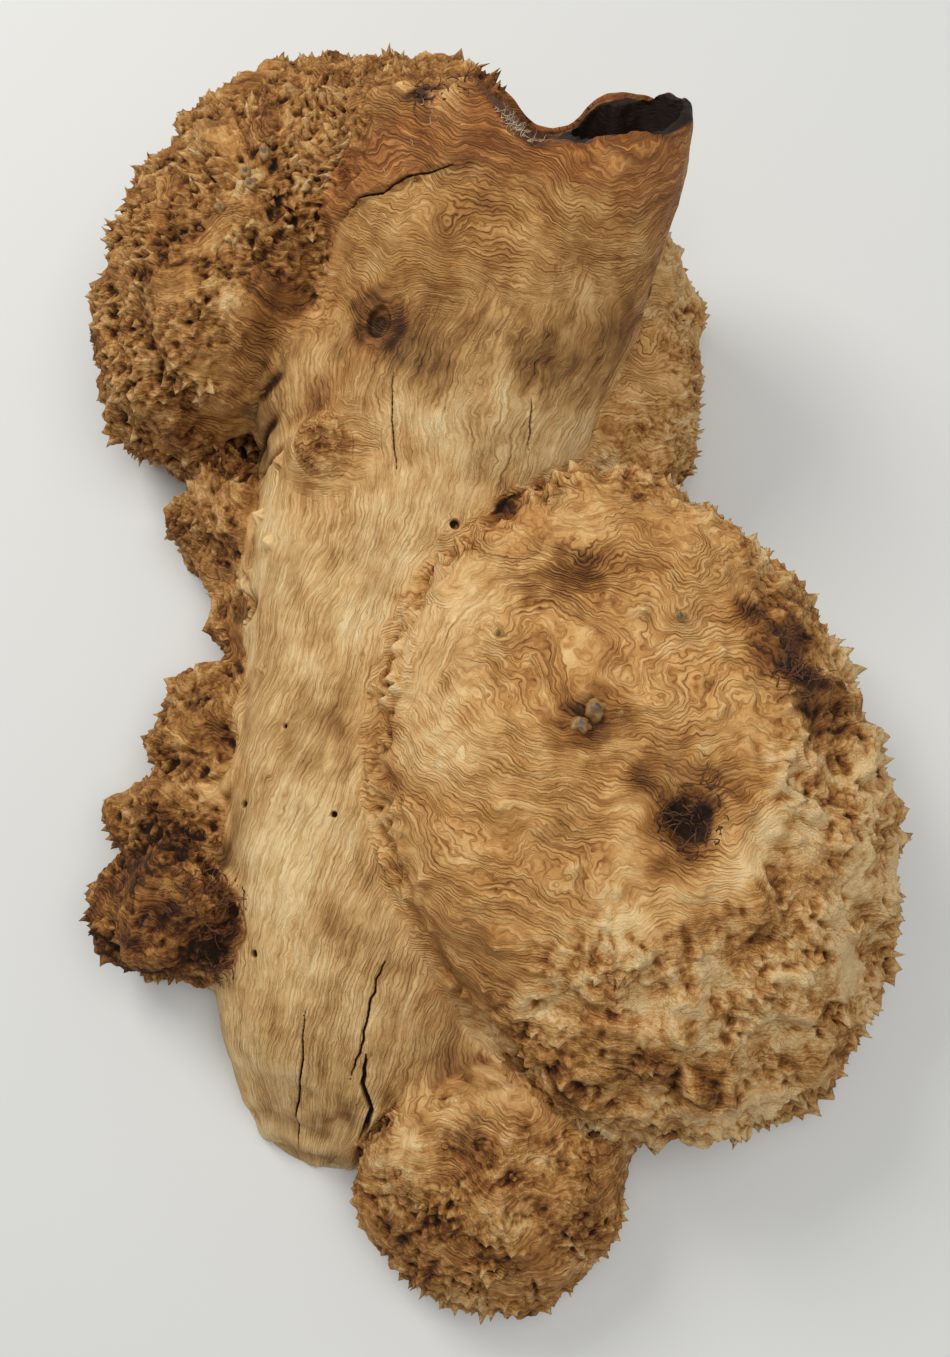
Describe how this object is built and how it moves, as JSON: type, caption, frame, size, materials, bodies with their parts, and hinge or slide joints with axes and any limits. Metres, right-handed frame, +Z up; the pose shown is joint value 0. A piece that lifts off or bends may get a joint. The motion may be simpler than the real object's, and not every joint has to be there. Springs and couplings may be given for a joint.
{
  "type": "mallee burl cap",
  "caption": "Slab of root burl wood, sawn flat behind, with a smooth trunk band, a leaning hollow stub and spiny rounded burls on its wild face.",
  "frame": {"origin": "middle of the cap's outline, on the sawn face", "axes": "+Z up, out of the wild face; +Y along the old trunk, from its thin sawn end to the hollow stub; +X to the big domed burl"},
  "size_m": [0.4085, 0.633, 0.1876],
  "materials": {
    "burl_wood": "dry weathered wood with the bark off, fine wavy grain, darker in the burls' crevices"
  },
  "bodies": {
    "root": {"burl_cap": "burl_wood"}
  },
  "joints": []
}
